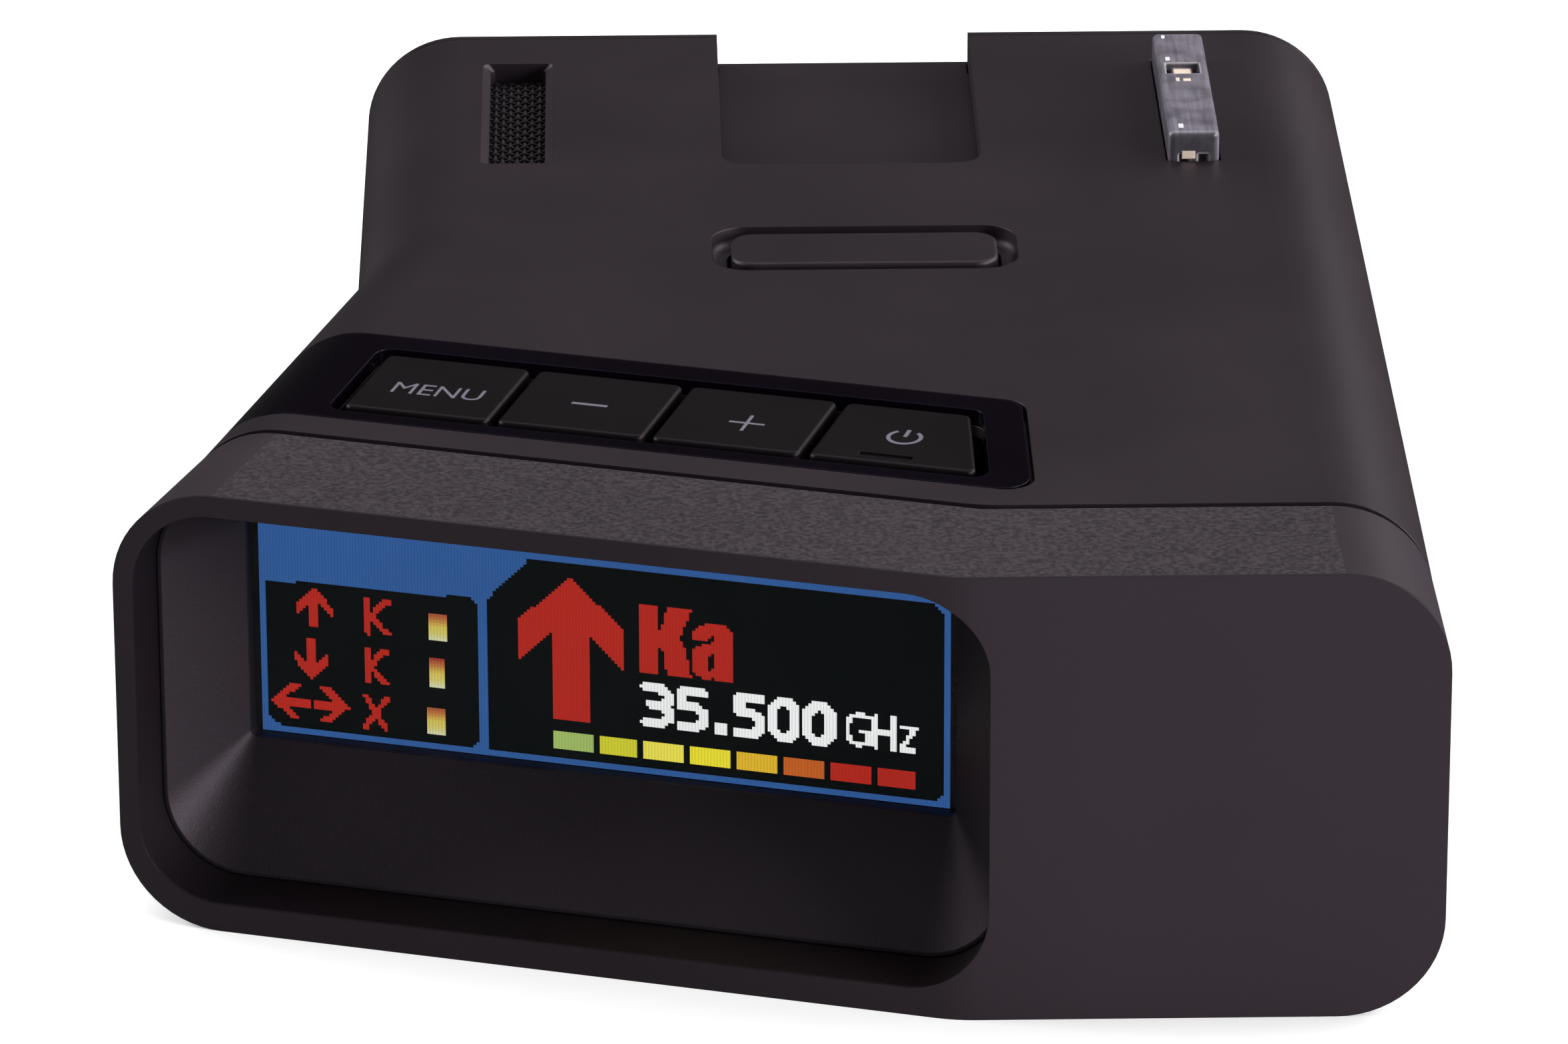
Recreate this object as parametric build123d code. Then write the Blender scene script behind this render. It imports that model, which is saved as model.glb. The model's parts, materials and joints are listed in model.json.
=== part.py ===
"""A dashboard radar detector: rounded case, angled display end, five push keys.

The unit lies on its base. +X is to the right for someone who reads the display, +Y points to
the windshield and +Z is up. The origin is at the middle of the base. Sizes are millimetres.
A depth is measured along +Y from the foremost edge, the kink between the two front faces. On
the angled display face, s runs to the right from the kink and off runs inward from the face.
"""
from build123d import *
import math
import os

# ------------------------------------------------------------------ overall form
FRONT_WIDTH = 90.0
LENGTH = 110.4
FACE_HEIGHT = 32.4
BODY_HEIGHT = 31.6
KINK_X = 12.0
PANEL_ANGLE = math.radians(17.2)
KINK_RADIUS = 9.0
BEZEL_DEPTH = 14.0
SEAM_GAP = 0.7
CORNER_RADIUS = 7.2
WALL = 2.0
BODY_LEFT = -29.5
CREASE_RADIUS = 9.0
SPLIT_Z = 9.0
SPLIT_GAP = 0.12
END_FLANGE = 0.6
END_WALL = 2.6
LIP_START = 18.5
EDGE_BREAK = 0.3

# ------------------------------------------------------------------ display
RIM_SIDE = 1.37
RIM_TOP = 1.5
RIM_BOTTOM = 2.0
OPENING_END_S = 2.1
OPENING_RADIUS = 5.8
SHROUD_START = 5.0
SHROUD_END = 11.0
GLASS_S = (-53.9, -3.0)
GLASS_Z = (9.9, 26.6)

# ------------------------------------------------------------------ keys
TRIM_OFF = (17.95, 33.7)
TRIM_RIGHT_X = 17.65
TRIM_THICKNESS = 1.1
TRIM_BOTTOM_Z = 19.0
KEY_WINDOW_OFF = (19.3, 31.4)
KEY_WINDOW_S = -50.7
KEY_WINDOW_X = 14.9
KEY_OFF = (20.3, 30.4)
KEY_SPANS = {"menu": (-49.75, -39.25), "minus": (-38.6, -28.05), "plus": (-27.4, -16.85)}
POWER_KEY_S = -16.15
POWER_KEY_X = 14.0
KEY_FOOT_Z = 28.9
KEY_TRAVEL = 0.5
KEY_LIP_REACH = 1.4
BOARD_Z = (23.6, 24.8)

# ------------------------------------------------------------------ top features
CENTRE_X = 7.55
MUTE_RECESS = (22.2, 8.8)
MUTE_KEY = (19.3, 6.3)
MUTE_DEPTH = 64.0
MUTE_RECESS_FLOOR = 30.2
CHANNEL_X = 7.1
CHANNEL_WIDTH = 19.3
CHANNEL_START = 81.6
CHANNEL_FLOOR_Z = 29.2
CHANNEL_THICKNESS = 1.6
CHANNEL_UNDERCUT = 0.7
GRILLE_X = -17.8
GRILLE_DEPTHS = (82.2, 104.1)
GRILLE_WIDTH = 4.2
GRILLE_BEVEL = 0.6
LENS_X = 32.5
LENS_DEPTHS = (81.5, 103.8)
LENS_WIDTH = 3.8
LENS_TOP_Z = 33.8
LASER_X = 29.4
LASER_Z = 14.5
LASER_WINDOW = (11.0, 9.0)

# ------------------------------------------------------------------ fasteners and sockets
CASE_SCREWS = [(-23.5, 104.3), (36.6, 104.5), (37.2, 24.0), (-25.8, 50.4)]
MAIN_SCREWS = [(-19.5, 38.0), (37.0, 64.5), (-19.5, 94.0), (37.0, 94.0)]
KEY_BOARD_SCREWS = [(-18.5, 49.5), (22.0, 33.0), (35.0, 48.0), (-18.0, 75.0)]
MAIN_BOARD_Z = (5.0, 6.4)
SOCKET_Z = 13.5
POWER_DEPTH = 44.0
AUDIO_DEPTH = 56.0
USB_DEPTH = 73.0

# ------------------------------------------------------------------ worked out
COS = math.cos(PANEL_ANGLE)
SIN = math.sin(PANEL_ANGLE)
FRONT_Y = -LENGTH / 2
END_Y = LENGTH / 2
HALF_WIDTH = FRONT_WIDTH / 2
PANEL_LEFT_S = -(KINK_X + HALF_WIDTH) / COS
INNER_RIGHT = HALF_WIDTH - WALL
FAR = 200.0


# ------------------------------------------------------------------ places and simple solids
def panel(s, off):
    """The plan point s along the display face from the kink and off behind it."""
    return (KINK_X + s * COS + off * SIN, FRONT_Y - s * SIN + off * COS)


def panel_at_x(x, off):
    """The plan point at x that lies off behind the display face."""
    return (x, FRONT_Y + (off - (x - KINK_X) * SIN) / COS)


def face_plane(off):
    """A plane parallel to the display face, off behind it: local x is s and local y is Z."""
    return Plane(origin=(*panel(0, off), 0), x_dir=(COS, -SIN, 0), z_dir=(-SIN, -COS, 0))


def block(xs, depths, zs):
    """A box from its ranges in X, in depth and in Z."""
    size = [xs[1] - xs[0], depths[1] - depths[0], zs[1] - zs[0]]
    middle = (sum(xs) / 2, FRONT_Y + sum(depths) / 2, sum(zs) / 2)
    return Pos(*middle) * Box(*size)


def post(x, depth, zs, radius):
    """An upright cylinder."""
    return Pos(x, FRONT_Y + depth, sum(zs) / 2) * Cylinder(radius, zs[1] - zs[0])


def rod_x(xs, depth, z, radius):
    """A cylinder along X."""
    return Pos(sum(xs) / 2, FRONT_Y + depth, z) * Rot(0, 90, 0) * Cylinder(radius, xs[1] - xs[0])


def rod_y(x, depths, z, radius):
    """A cylinder along Y."""
    return Pos(x, FRONT_Y + sum(depths) / 2, z) * Rot(90, 0, 0) * Cylinder(radius, depths[1] - depths[0])


def prism(points, zs, radius=0.0):
    """An upright prism on a plan polygon, with its corners rounded in plan."""
    face = make_face(Polyline(*points, close=True))
    if radius:
        face = fillet(face.vertices(), radius)
    return Pos(0, 0, zs[0]) * extrude(face, zs[1] - zs[0])


def rounded_slot(x, depth, size, zs, radius):
    """An upright prism on a rounded rectangle."""
    face = Pos(x, FRONT_Y + depth) * RectangleRounded(*size, radius)
    return Pos(0, 0, zs[0]) * extrude(face, zs[1] - zs[0])


def window(ss, zs, radius):
    """A rounded rectangle on the display face."""
    return Pos(sum(ss) / 2, sum(zs) / 2) * RectangleRounded(ss[1] - ss[0], zs[1] - zs[0], radius)


def panel_prism(face, offs):
    """A prism that runs inward from the display face."""
    return extrude(face_plane(offs[1]) * face, offs[1] - offs[0])


def panel_block(ss, offs, zs):
    """A box that stands square to the display face."""
    corners = [panel(ss[0], offs[0]), panel(ss[1], offs[0]), panel(ss[1], offs[1]), panel(ss[0], offs[1])]
    return prism(corners, zs)


def soften(solid, edges, radius):
    """Round some edges of a solid."""
    return solid.fillet(radius, list(edges))


# ------------------------------------------------------------------ the outer forms
def behind(depth):
    """Everything at least this deep behind both front faces, with the soft kink between them."""
    kink = (KINK_X + depth * math.tan(PANEL_ANGLE / 2), FRONT_Y + depth)
    points = [panel(-95, depth), kink, (70, FRONT_Y + depth), (70, 80), (-90, 80)]
    face = make_face(Polyline(*points, close=True))
    nose = face.vertices().sort_by_distance((*kink, 0))[0]
    face = fillet(nose, KINK_RADIUS)
    return Pos(0, 0, -FAR / 2) * extrude(face, FAR)


def body_form(inset):
    """The rounded case, drawn in by inset, which runs on ahead of the bezel seam."""
    side_s = PANEL_LEFT_S + inset
    left_x = BODY_LEFT + inset
    right_x = HALF_WIDTH - inset
    low, high = inset, BODY_HEIGHT - inset
    crease = panel(side_s, (left_x - KINK_X - side_s * COS) / SIN)
    left = [(left_x, END_Y), crease, panel(side_s, 4), panel(0, 4)]
    points = left + [(right_x, FRONT_Y + 4), (right_x, END_Y)]
    face = make_face(Polyline(*points, close=True))
    corner = face.vertices().sort_by_distance((*crease, 0))[0]
    face = fillet(corner, CREASE_RADIUS + inset)
    form = Pos(0, 0, low) * extrude(face, high - low)

    def along_a_side(edge):
        point = edge @ 0.5
        level = min(abs(point.Z - low), abs(point.Z - high)) < 0.01
        s = (point.X - KINK_X) * COS - (point.Y - FRONT_Y) * SIN
        straight = min(abs(point.X - right_x), abs(point.X - left_x), abs(s - side_s)) < 0.01
        return level and (straight or edge.geom_type == GeomType.CIRCLE)

    return soften(form.solid(), filter(along_a_side, form.edges()), CORNER_RADIUS - inset)


def shell(outer, inner):
    """The space between two insets of the case form, behind the seam."""
    return (body_form(outer) & behind(BEZEL_DEPTH + SEAM_GAP)) - body_form(inner)


def bezel_half(start, length, inward, along):
    """One half of the bezel's form: its sloped section, run along its face."""
    profile = [(0, 0), (BEZEL_DEPTH, 0), (BEZEL_DEPTH, BODY_HEIGHT), (0, FACE_HEIGHT)]
    plane = Plane(origin=(*start, 0), x_dir=inward, z_dir=along)
    return extrude(plane * make_face(Polyline(*profile, close=True)), length)


def bezel_form():
    """The bezel's outer form: two sloped bands that meet at the kink, with rounded corners."""
    half = PANEL_ANGLE / 2
    reach = 30.0
    axis = (math.sin(half) * reach, math.cos(half) * reach)
    kink = (KINK_X, FRONT_Y)
    back = (kink[0] + axis[0], kink[1] + axis[1])
    front = (kink[0] - axis[0], kink[1] - axis[1])
    left_side = prism([front, back, (-90, back[1]), (-90, front[1])], (-1, 40))
    right_side = prism([front, (90, front[1]), (90, back[1]), back], (-1, 40))
    left = bezel_half(panel(PANEL_LEFT_S, 0), 20 - PANEL_LEFT_S, (SIN, COS, 0), (COS, -SIN, 0))
    right = bezel_half((-HALF_WIDTH, FRONT_Y), 2 * HALF_WIDTH, (0, 1, 0), (1, 0, 0))
    form = (left & left_side) + (right & right_side)

    def along_an_end(edge):
        point = edge @ 0.5
        s = (point.X - KINK_X) * COS - (point.Y - FRONT_Y) * SIN
        level = point.Z < 0.01 or point.Z > BODY_HEIGHT - 0.01
        return level and min(abs(s - PANEL_LEFT_S), abs(point.X - HALF_WIDTH)) < 0.01

    return soften(form.solid(), filter(along_an_end, form.edges()), CORNER_RADIUS) & behind(0)


def opening_face(inset=0.0):
    """The display opening, drawn in by inset."""
    ss = (PANEL_LEFT_S + RIM_SIDE + inset, OPENING_END_S - inset)
    zs = (RIM_BOTTOM + inset, FACE_HEIGHT - RIM_TOP - inset)
    return window(ss, zs, OPENING_RADIUS - inset)


# ------------------------------------------------------------------ case parts
def make_front_bezel():
    """The front bezel: display opening on the left, closed box on the right, four snap tabs."""
    solid = bezel_form()
    solid -= panel_prism(opening_face(), (-6, BEZEL_DEPTH + 3))
    wall_s = OPENING_END_S + 1.4
    right_side = [(INNER_RIGHT, FRONT_Y + 2.2), (INNER_RIGHT, FRONT_Y + 20)]
    hollow = prism([panel(wall_s, 3.4), *right_side, panel(wall_s, 22)], (WALL, 30.0))
    right_edges = hollow.edges().filter_by(Axis.Y).sort_by(Axis.X)[-2:]
    solid -= soften(hollow.solid(), right_edges, CORNER_RADIUS - 2)
    tab_depths = (BEZEL_DEPTH - 3.0, BEZEL_DEPTH + 3.6)
    root_depths = (BEZEL_DEPTH - 3.0, BEZEL_DEPTH - 0.1)
    for z in (12.0, 20.0):
        solid += block((INNER_RIGHT - 1.1, INNER_RIGHT - 0.1), tab_depths, (z - 2, z + 2))
        solid += block((INNER_RIGHT - 0.2, INNER_RIGHT + 0.2), root_depths, (z - 2, z + 2))
    for x in (22.0, 33.0):
        solid += block((x - 3, x + 3), tab_depths, (WALL + 0.1, WALL + 1.1))
        solid += block((x - 3, x + 3), root_depths, (WALL - 0.2, WALL + 0.2))
    return solid


def case_shell():
    """The case wall, from the bezel seam to the end cover."""
    return shell(0, WALL) & block((-FAR, FAR), (0, LENGTH - END_FLANGE - SPLIT_GAP), (-1, 40))


def trim_region(grow):
    """The band around the keys, grown in plan: open to the left, round-cornered on the right."""
    front, rear = TRIM_OFF[0] - grow, TRIM_OFF[1] + grow
    right = TRIM_RIGHT_X + grow * 2
    points = [panel(-80, front), panel_at_x(right, front), panel_at_x(right, rear), panel(-80, rear)]
    face = make_face(Polyline(*points, close=True))
    face = fillet(face.vertices().sort_by(Axis.X)[-2:], 2.0)
    return Pos(0, 0, TRIM_BOTTOM_Z - grow) * extrude(face, 20)


def key_window(grow=0.0, zs=(25, 40)):
    """The opening around the four front keys."""
    front, rear = KEY_WINDOW_OFF[0] - grow, KEY_WINDOW_OFF[1] + grow
    left, right = KEY_WINDOW_S - grow, KEY_WINDOW_X + grow
    points = [panel(left, front), panel_at_x(right, front), panel_at_x(right, rear), panel(left, rear)]
    return prism(points, zs, 1.2)


def grille_slot():
    """The speaker's slot through the top wall, bevelled along its two sides."""
    size = (GRILLE_WIDTH, GRILLE_DEPTHS[1] - GRILLE_DEPTHS[0])
    middle = sum(GRILLE_DEPTHS) / 2
    low = Pos(GRILLE_X, FRONT_Y + middle, BODY_HEIGHT - GRILLE_BEVEL) * RectangleRounded(*size, 0.4)
    high_size = (GRILLE_WIDTH + 2 * GRILLE_BEVEL + 0.02, size[1] + 0.02)
    high = Pos(GRILLE_X, FRONT_Y + middle, BODY_HEIGHT + 0.01) * RectangleRounded(*high_size, 0.6)
    return rounded_slot(GRILLE_X, middle, size, (26, 40), 0.4) + loft([low, high])


def channel_sides(margin=0.0):
    """The X of the bracket channel's two side walls, moved apart by margin."""
    return CHANNEL_X - CHANNEL_WIDTH / 2 - margin, CHANNEL_X + CHANNEL_WIDTH / 2 + margin


def make_upper_case():
    """The upper case: top skin with its trim pocket, key holes, slots and screw bosses."""
    solid = case_shell() & block((-FAR, FAR), (0, FAR), (SPLIT_Z + SPLIT_GAP, 40))
    for x, depth in CASE_SCREWS:
        solid += post(x, depth, (SPLIT_Z + SPLIT_GAP, BODY_HEIGHT - 1.5), 2.4) & body_form(1.5)
    for x, depth in KEY_BOARD_SCREWS:
        solid += post(x, depth, (BOARD_Z[1], BODY_HEIGHT - 1.5), 1.9)
    for x, depth in CASE_SCREWS:
        solid -= post(x, depth, (0, 16), 1.0)
    for x, depth in KEY_BOARD_SCREWS:
        solid -= post(x, depth, (0, 28.4), 0.75)
    pocket = (body_form(0) - body_form(TRIM_THICKNESS + 0.1)) & trim_region(0.15)
    solid -= pocket
    solid -= key_window()
    recess = rounded_slot(CENTRE_X, MUTE_DEPTH, MUTE_RECESS, (MUTE_RECESS_FLOOR, 40), 2.6)
    solid -= soften(recess.solid(), recess.faces().sort_by(Axis.Z)[0].edges(), 0.6)
    room = (MUTE_KEY[0] + 0.6, MUTE_KEY[1] + 0.6)
    solid -= rounded_slot(CENTRE_X, MUTE_DEPTH, room, (25, 40), 2.0)
    left, right = channel_sides()
    start, end = FRONT_Y + CHANNEL_START, END_Y + 20
    solid -= prism([(left, start), (right, start), (right, end), (left, end)], (25, 40), 2.0)
    solid -= grille_slot()
    lens_size = (LENS_WIDTH + 0.3, LENS_DEPTHS[1] - LENS_DEPTHS[0] + 0.3)
    solid -= rounded_slot(LENS_X, sum(LENS_DEPTHS) / 2, lens_size, (25, 40), 0.4)
    for depth, radius in ((POWER_DEPTH, 3.7), (AUDIO_DEPTH, 3.1)):
        solid -= rod_x((40, 50), depth, SOCKET_Z, radius)
    solid -= block((40, 50), (USB_DEPTH - 4.2, USB_DEPTH + 4.2), (SOCKET_Z - 2.3, SOCKET_Z + 2.3))
    return solid


def make_lower_case():
    """The lower case: base, locating lip, screw posts, board posts and a label recess."""
    solid = case_shell() & block((-FAR, FAR), (0, FAR), (-1, SPLIT_Z))
    lip_depths = (LIP_START, LENGTH - 6)
    lip = shell(WALL + 0.06, WALL + 0.9) & block((-FAR, FAR), lip_depths, (SPLIT_Z - 2.6, SPLIT_Z + 1.2))
    lip += shell(WALL - 0.4, WALL + 0.9) & block((-FAR, FAR), lip_depths, (SPLIT_Z - 2.6, SPLIT_Z - 0.2))
    for depth, half in ((POWER_DEPTH, 5.4), (AUDIO_DEPTH, 4.4)):
        lip -= block((39, INNER_RIGHT + 0.4), (depth - half, depth + half), (SPLIT_Z - 0.2, SPLIT_Z + 2))
    solid += lip
    for x, depth in CASE_SCREWS:
        solid += post(x, depth, (1.0, SPLIT_Z), 2.9) & body_form(1.0)
    for x, depth in MAIN_SCREWS:
        solid += post(x, depth, (1.0, MAIN_BOARD_Z[0]), 2.2)
    for x, depth in CASE_SCREWS:
        solid -= post(x, depth, (-1, 40), 1.15)
        solid -= post(x, depth, (-1, 4.4), 2.1)
        solid -= post(x, depth, (SPLIT_Z, 40), 2.55)
    for x, depth in MAIN_SCREWS:
        solid -= post(x, depth, (2.0, 40), 0.85)
    solid -= rounded_slot(CENTRE_X, 66.0, (52.4, 30.4), (-1, 0.3), 1.7)
    return solid


def make_end_cover():
    """The windshield end: a thin flange, a plug that fits inside the case, and a laser window."""
    flange = body_form(0) & block((-FAR, FAR), (LENGTH - END_FLANGE, LENGTH), (-1, 40))
    plug_depths = (LENGTH - END_WALL, LENGTH - END_FLANGE + 0.1)
    plug = body_form(WALL + 0.1) & block((-FAR, FAR), plug_depths, (-1, 40))
    plug_cut_z = CHANNEL_FLOOR_Z - CHANNEL_THICKNESS - 0.2
    plug -= block(channel_sides(), (LENGTH - 9, LENGTH - END_FLANGE), (plug_cut_z, 40))
    solid = flange + plug - block(channel_sides(), (LENGTH - 9, LENGTH + 1), (CHANNEL_FLOOR_Z, 40))
    solid -= rounded_slot_y(LASER_X, LASER_Z, LASER_WINDOW, (LENGTH - 9, LENGTH + 1), 1.2)
    return solid


def rounded_slot_y(x, z, size, depths, radius):
    """A prism along Y on a rounded rectangle."""
    plane = Plane(origin=(x, FRONT_Y + depths[1], z), x_dir=(1, 0, 0), z_dir=(0, -1, 0))
    return extrude(plane * RectangleRounded(*size, radius), depths[1] - depths[0])


def make_mount_channel():
    """The bracket channel in the top: a floor with two undercut rails, open at the windshield end."""
    low = CHANNEL_FLOOR_Z - CHANNEL_THICKNESS
    depths = (CHANNEL_START - 2, LENGTH - END_WALL - 0.1)
    solid = block(channel_sides(2), depths, (low, BODY_HEIGHT - WALL))
    solid += block(channel_sides(-0.1), (LENGTH - 8, LENGTH - END_FLANGE - 0.05), (low, CHANNEL_FLOOR_Z))
    return solid - block(channel_sides(CHANNEL_UNDERCUT), (CHANNEL_START + 0.6, FAR), (CHANNEL_FLOOR_Z, 40))


def make_case_screws():
    """Four screws up through the lower case into the upper case's bosses."""
    screws = []
    for x, depth in CASE_SCREWS:
        head = post(x, depth, (2.9, 4.4), 1.9)
        slot = block((x - 1.3, x + 1.3), (depth - 0.25, depth + 0.25), (2.5, 3.5))
        drive = post(x, depth, (2.5, 3.7), 0.55) + slot
        screws.append((head + post(x, depth, (4.3, 15.0), 0.95)) - drive)
    return Compound(screws)


def make_board_screws(places, head_zs, shank_zs, radius):
    """Small pan-head screws that hold a board."""
    return Compound([post(x, depth, head_zs, 1.5) + post(x, depth, shank_zs, radius) for x, depth in places])


def make_rating_label():
    """A blank label plate in the base recess."""
    return rounded_slot(CENTRE_X, 66.0, (52.0, 30.0), (0.1, 0.3), 1.5)


# ------------------------------------------------------------------ display parts
def make_display_shroud():
    """The funnel between the bezel opening and the display window."""
    lip = 0.35
    mouth = opening_face(0.06)
    outer_end = window((GLASS_S[0] - 2.2, GLASS_S[1] + 2.2), (GLASS_Z[0] - 2.2, GLASS_Z[1] + 2.2), 2.4)
    outer = loft([face_plane(SHROUD_START) * mouth, face_plane(SHROUD_END + 1.2) * outer_end])
    inner_mouth = window((PANEL_LEFT_S + RIM_SIDE + lip, OPENING_END_S - lip),
                         (RIM_BOTTOM + lip, FACE_HEIGHT - RIM_TOP - lip), OPENING_RADIUS - lip)
    hole = window(GLASS_S, GLASS_Z, 0.5)
    inner = loft([face_plane(SHROUD_START) * inner_mouth, face_plane(SHROUD_END) * hole])
    solid = outer - inner - panel_prism(hole, (SHROUD_END - 0.1, SHROUD_END + 3))
    return solid


def make_display_glass():
    """The clear cover over the display."""
    face = window((GLASS_S[0] + 0.05, GLASS_S[1] - 0.05), (GLASS_Z[0] + 0.05, GLASS_Z[1] - 0.05), 0.45)
    return panel_prism(face, (SHROUD_END + 0.2, SHROUD_END + 1.1))


def make_display_panel():
    """The display module behind the glass."""
    return panel_prism(window((-55.4, -1.4), (7.4, 28.2), 0.8), (SHROUD_END + 1.25, SHROUD_END + 3.6))


def make_display_board():
    """The driver board behind the display module."""
    return panel_prism(window((-54.6, -2.0), (7.8, 27.8), 0.8), (SHROUD_END + 3.65, SHROUD_END + 4.65))


def make_display_bracket():
    """The frame that clamps the display to the shroud."""
    outer = window((-55.0, -0.8), (7.2, 28.0), 1.5)
    hole = window((-50.0, -7.0), (10.0, 25.5), 1.0)
    return panel_prism(outer, (SHROUD_END + 4.7, SHROUD_END + 5.9)) - panel_prism(hole, (0, 40))


def make_display_ribbon():
    """The flat flexible cable from the display board down to the main board."""
    start_s = -25.0
    ends = [(SHROUD_END + 4.7, 14.0), (21.5, 14.0), (24.5, 6.8), (33.5, 6.8)]
    points = [(*panel(start_s, off), z) for off, z in ends]
    path = FilletPolyline(*points, radius=1.6)
    section = Plane(origin=path @ 0, x_dir=(COS, -SIN, 0), z_dir=path % 0)
    return sweep(section * Rectangle(14.0, 0.25), path=path)


# ------------------------------------------------------------------ keys
def make_key_trim():
    """The gloss band around the front keys, wrapped down over the left corner."""
    skin = (body_form(0) - body_form(TRIM_THICKNESS)) & trim_region(0)
    return skin - key_window()


def key_points(ss):
    """The plan corners of a front key that spans a range of s."""
    near, far = KEY_OFF
    return [panel(ss[0], near), panel(ss[1], near), panel(ss[1], far), panel(ss[0], far)]


def power_points():
    """The plan corners of the power key, whose right edge runs straight back."""
    return [panel(POWER_KEY_S, KEY_OFF[0]), panel_at_x(POWER_KEY_X, KEY_OFF[0]),
            panel_at_x(POWER_KEY_X, KEY_OFF[1]), panel(POWER_KEY_S, KEY_OFF[1])]


def front_key(points):
    """A front key cap with a retaining lip that reaches under the trim before and behind it."""
    cap = prism(points, (KEY_FOOT_Z, BODY_HEIGHT), 0.6)
    cap = soften(cap.solid(), cap.faces().sort_by(Axis.Z)[-1].edges(), EDGE_BREAK)
    across, along = KEY_LIP_REACH * SIN, KEY_LIP_REACH * COS
    lip = [(x - across, y - along) for x, y in points[:2]] + [(x + across, y + along) for x, y in points[2:]]
    return cap + prism(lip, (KEY_FOOT_Z - 0.2, KEY_FOOT_Z + 0.4), 0.6)


def key_middle(points):
    """The middle of a key's plan, where its plunger stands."""
    return (sum(p[0] for p in points) / 4, sum(p[1] for p in points) / 4 - FRONT_Y)


def plunger(place):
    """The post under a key that presses its switch."""
    return post(*place, (KEY_FOOT_Z - 0.95, KEY_FOOT_Z - 0.2), 1.6)


def tact_switch(place):
    """A tact switch on the key board: square body and round button."""
    x, depth = place
    body = block((x - 3, x + 3), (depth - 3, depth + 3), (BOARD_Z[1], BOARD_Z[1] + 1.8))
    return body + post(x, depth, (BOARD_Z[1] + 1.8, KEY_FOOT_Z - 0.95 - KEY_TRAVEL - 0.1), 1.5)


def make_mute_key():
    """The long key on the top, with a lip all round under the case skin."""
    cap = rounded_slot(CENTRE_X, MUTE_DEPTH, MUTE_KEY, (KEY_FOOT_Z, BODY_HEIGHT), 1.7)
    cap = soften(cap.solid(), cap.faces().sort_by(Axis.Z)[-1].edges(), EDGE_BREAK)
    lip_size = (MUTE_KEY[0] + 2.2, MUTE_KEY[1] + 2.2)
    return cap + rounded_slot(CENTRE_X, MUTE_DEPTH, lip_size, (KEY_FOOT_Z - 0.2, KEY_FOOT_Z + 0.4), 2.4)


def led_window_points(points):
    """The small light slot near the front edge of the power key."""
    middle = key_middle(points)
    s = (middle[0] - KINK_X) * COS - middle[1] * SIN
    return (s - 1.9, s + 1.9), (KEY_OFF[0] + 0.9, KEY_OFF[0] + 1.5)


# ------------------------------------------------------------------ boards and modules
def make_key_board():
    """The upper board, under the keys."""
    left = [panel(-47, 18.5), panel(3, 18.5)]
    points = left + [(38, FRONT_Y + 32), (38, FRONT_Y + 78), (-22, FRONT_Y + 78), panel(-47, 44)]
    solid = prism(points, BOARD_Z, 1.5)
    for x, depth in KEY_BOARD_SCREWS:
        solid -= post(x, depth, (20, 30), 0.9)
    return solid


def make_main_board():
    """The lower board, on the lower case's posts."""
    solid = rounded_slot(9.0, 66.0, (62.0, 64.0), MAIN_BOARD_Z, 1.5)
    for x, depth in MAIN_SCREWS:
        solid -= post(x, depth, (0, 10), 1.0)
    return solid


def horn(x, throat, mouth, throat_size, mouth_size, z):
    """An open horn antenna with thin walls between two depths, with a flange at its throat."""
    wall = 0.8

    def section(depth, size, grow):
        plane = Plane(origin=(x, FRONT_Y + depth, z), x_dir=(1, 0, 0), z_dir=(0, -1, 0))
        return plane * Rectangle(size[0] + grow, size[1] + grow)

    step = math.copysign(0.4, throat - mouth)
    outer = loft([section(throat, throat_size, 2 * wall), section(mouth, mouth_size, 2 * wall)])
    inner = loft([section(throat + step, throat_size, 0), section(mouth - step, mouth_size, 0)])
    return outer - inner


def make_receiver_can():
    """The shielded receiver between the two horns."""
    can = block((-8, 31.5), (35.2, 83.3), (10.2, 21.6))
    can = soften(can.solid(), can.edges().filter_by(Axis.Z), 1.2)
    for x, depth, radius in ((2.0, 46.0, 1.4), (11.0, 60.0, 1.4), (24.0, 72.0, 1.4)):
        can -= post(x, depth, (20.8, 25), radius)
    return can


def make_speaker_parts():
    """Basket, cone, magnet and gasket of the small speaker under the grille."""
    x, depth = GRILLE_X, sum(GRILLE_DEPTHS) / 2
    top = BODY_HEIGHT - WALL - 1.3

    def cone_at(low, high, low_radius, high_radius):
        height = high - low
        return Pos(x, FRONT_Y + depth, top + (low + high) / 2) * Cone(low_radius, high_radius, height)

    basket = post(x, depth, (top - 5.6, top), 7.9) - cone_at(-4.6, 0.001, 3.4, 7.0)
    cone = cone_at(-4.3, 0.05, 3.0, 6.7) + post(x, depth, (top, top + 0.3), 7.4)
    cone -= cone_at(-3.9, 0.301, 2.6, 6.4)
    cone += Pos(x, FRONT_Y + depth, top - 5.2) * Sphere(2.2) & post(x, depth, (top - 4.1, top), 2.4)
    magnet = post(x, depth, (top - 9.2, top - 5.6), 5.2)
    gasket = post(x, depth, (top + 0.3, top + 0.7), 7.0) - post(x, depth, (top - 1, top + 2), 6.0)
    return {"speaker_basket": basket, "speaker_cone": cone, "speaker_magnet": magnet, "speaker_gasket": gasket}


def make_speaker_grille():
    """The perforated plate under the grille slot."""
    x, depth = GRILLE_X, sum(GRILLE_DEPTHS) / 2
    top = BODY_HEIGHT - WALL
    pitch, radius = 0.9, 0.3
    solid = block((x - 3.1, x + 3.1), (GRILLE_DEPTHS[0] - 1, GRILLE_DEPTHS[1] + 1), (top - 0.55, top))
    places = [(x + pitch * i, depth + pitch * j) for i in range(-2, 3) for j in range(-12, 13)]
    return solid - Compound([post(*place, (top - 1, top + 1), radius) for place in places])


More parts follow.
